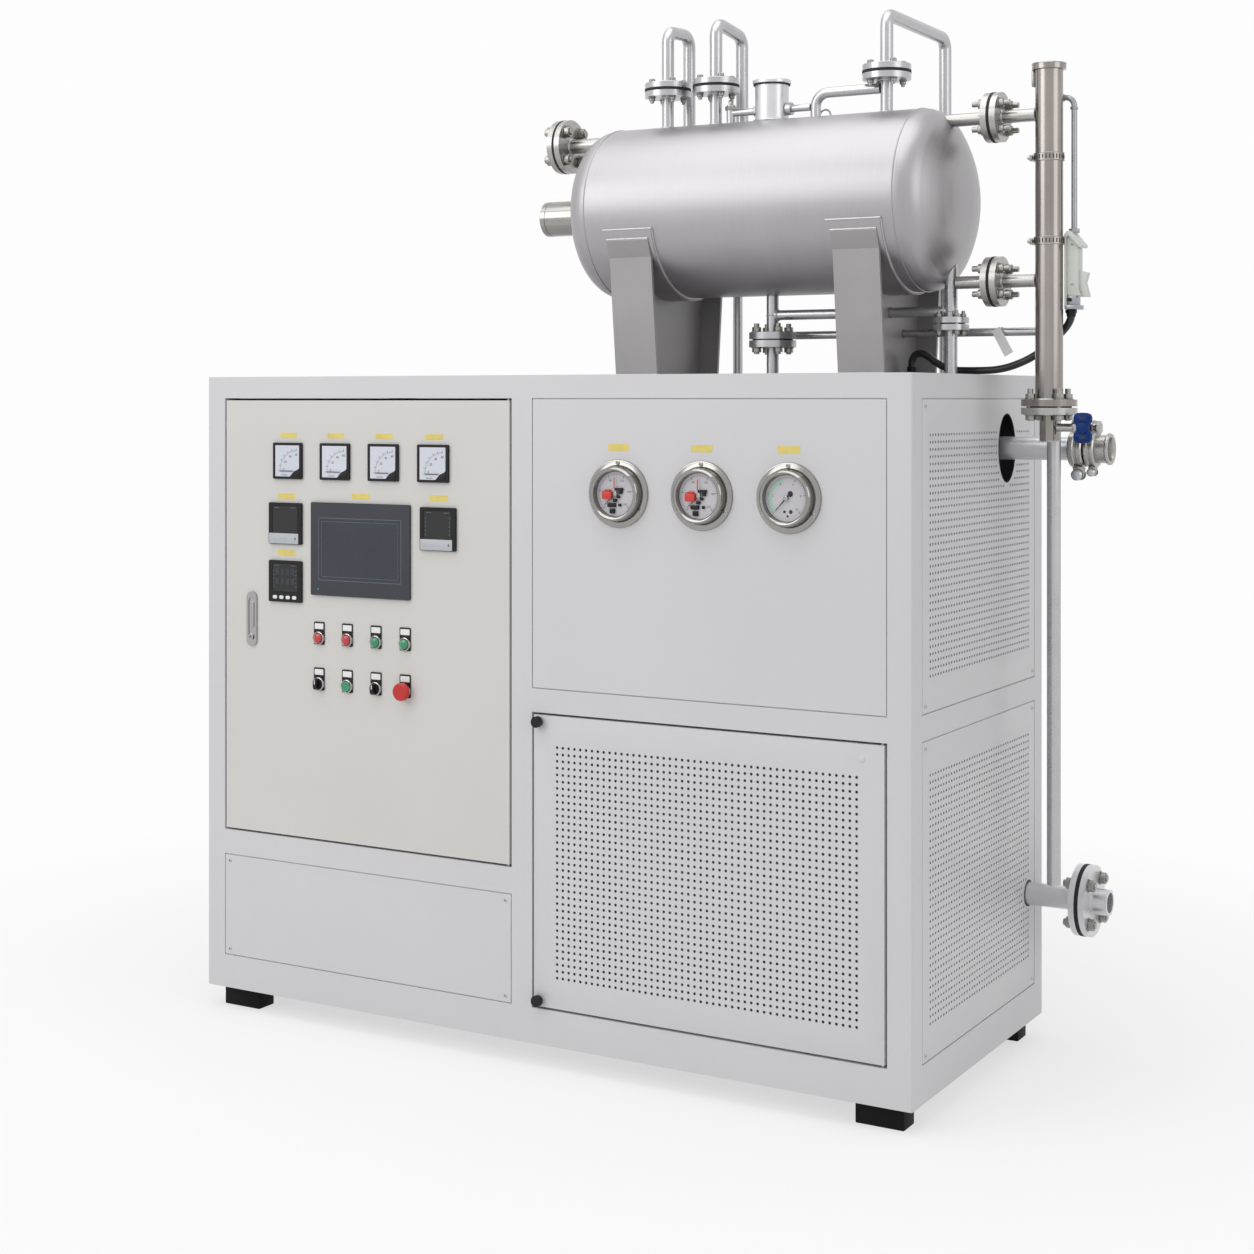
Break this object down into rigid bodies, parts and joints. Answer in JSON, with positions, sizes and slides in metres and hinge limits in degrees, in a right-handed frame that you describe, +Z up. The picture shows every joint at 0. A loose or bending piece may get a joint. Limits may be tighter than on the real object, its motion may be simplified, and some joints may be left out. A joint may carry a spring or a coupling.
{
  "type": "skid-mounted electric thermal-oil heater",
  "caption": "Sheet-steel heater cabinet with a swing control door and perforated vent door, carrying a saddle-mounted expansion tank, vent loops and a level column.",
  "frame": {"origin": "middle of the cabinet's footprint on the floor", "axes": "+Z up, front of the cabinet towards -Y, level column and pipes towards +X"},
  "size_m": [2.041, 0.796, 2.286],
  "materials": {
    "cabinet_paint": "light grey textured powder coat",
    "door_paint": "warm beige-grey powder coat",
    "black_paint": "black satin paint",
    "casing_sheet": "dull rolled sheet",
    "plate_zinc": "zinc-plated sheet",
    "bright_steel": "polished stainless steel",
    "black_plastic": "black moulded plastic",
    "screen_plastic": "dark blue-grey touch panel",
    "button_plastic": "red and green lenses",
    "stop_plastic": "red mushroom head",
    "dial_white": "white printed dial",
    "tank_paint": "silver aluminium paint",
    "gasket_black": "black graphite-rubber gasket",
    "white_plastic": "white housing",
    "handle_blue": "blue coated grip",
    "cable_black": "black cable jacket"
  },
  "bodies": {
    "root": {"corner_posts": "cabinet_paint", "middle_posts": "cabinet_paint", "top_rails": "cabinet_paint", "base_rails": "cabinet_paint", "mid_rails": "cabinet_paint", "top_plate": "cabinet_paint", "floor_plate": "cabinet_paint", "feet": "black_paint", "bay_partition": "cabinet_paint", "heater_casing": "casing_sheet", "mounting_plate": "plate_zinc", "left_panels": "cabinet_paint", "rear_panels": "cabinet_paint", "low_panel": "cabinet_paint", "gauge_panel": "cabinet_paint", "side_panel_upper": "cabinet_paint", "side_panel_lower": "cabinet_paint", "hinge_pins": "bright_steel", "gauge_cases": "bright_steel", "gauge_dials": "dial_white", "tank_shell": "tank_paint", "tank_head_left": "tank_paint", "tank_head_right": "tank_paint", "saddle_left": "tank_paint", "saddle_right": "tank_paint", "filler_neck": "tank_paint", "filler_lid": "tank_paint", "tank_nozzles": "tank_paint", "vent_loop_left": "tank_paint", "vent_loop_middle": "tank_paint", "vent_loop_right": "tank_paint", "head_nozzle": "tank_paint", "head_socket": "bright_steel", "bypass_pipe": "tank_paint", "expansion_line": "tank_paint", "overflow_pipe": "tank_paint", "gaskets": "gasket_black", "level_column": "bright_steel", "column_arms": "bright_steel", "column_drain": "bright_steel", "drain_valve": "bright_steel", "level_switch": "white_plastic", "outlet_pipe": "tank_paint", "outlet_coupling": "bright_steel", "return_pipe": "tank_paint", "cable_gland": "black_plastic", "signal_cable": "cable_black"},
    "control_leaf": {"control_door": "door_paint", "door_lock": "bright_steel", "ammeters": "black_plastic", "controllers": "black_plastic", "touch_panel": "screen_plastic", "push_buttons": "button_plastic", "button_plates": "black_plastic"},
    "left_selector": {"selector_left": "black_plastic"},
    "right_selector": {"selector_right": "black_plastic"},
    "stop_head": {"stop_button": "stop_plastic"},
    "vent_leaf": {"vent_door": "cabinet_paint", "vent_knobs": "black_plastic"},
    "valve_grip": {"valve_handle": "handle_blue"}
  },
  "joints": [
    {"name": "control_door_swing", "type": "hinge", "parent": "root", "child": "control_leaf", "pos_m": [-0.045, -0.38, 0.9315], "axis": [0, 0, 1], "range_deg": [0, 105]},
    {"name": "vent_door_swing", "type": "hinge", "parent": "root", "child": "vent_leaf", "pos_m": [0.832, -0.38, 0.4455], "axis": [0, 0, 1], "range_deg": [0, 110]},
    {"name": "left_selector_turn", "type": "hinge", "parent": "control_leaf", "child": "left_selector", "pos_m": [-0.5605, -0.385, 0.785], "axis": [0, -1, 0], "range_deg": [-45, 45]},
    {"name": "right_selector_turn", "type": "hinge", "parent": "control_leaf", "child": "right_selector", "pos_m": [-0.3985, -0.385, 0.785], "axis": [0, -1, 0], "range_deg": [-45, 45]},
    {"name": "stop_press", "type": "slide", "parent": "control_leaf", "child": "stop_head", "axis": [0, 1, 0], "range_m": [0, 0.004]},
    {"name": "valve_turn", "type": "hinge", "parent": "root", "child": "valve_grip", "pos_m": [1.122, -0.025, 1.379], "axis": [0, -1, 0], "range_deg": [0, 90]}
  ]
}
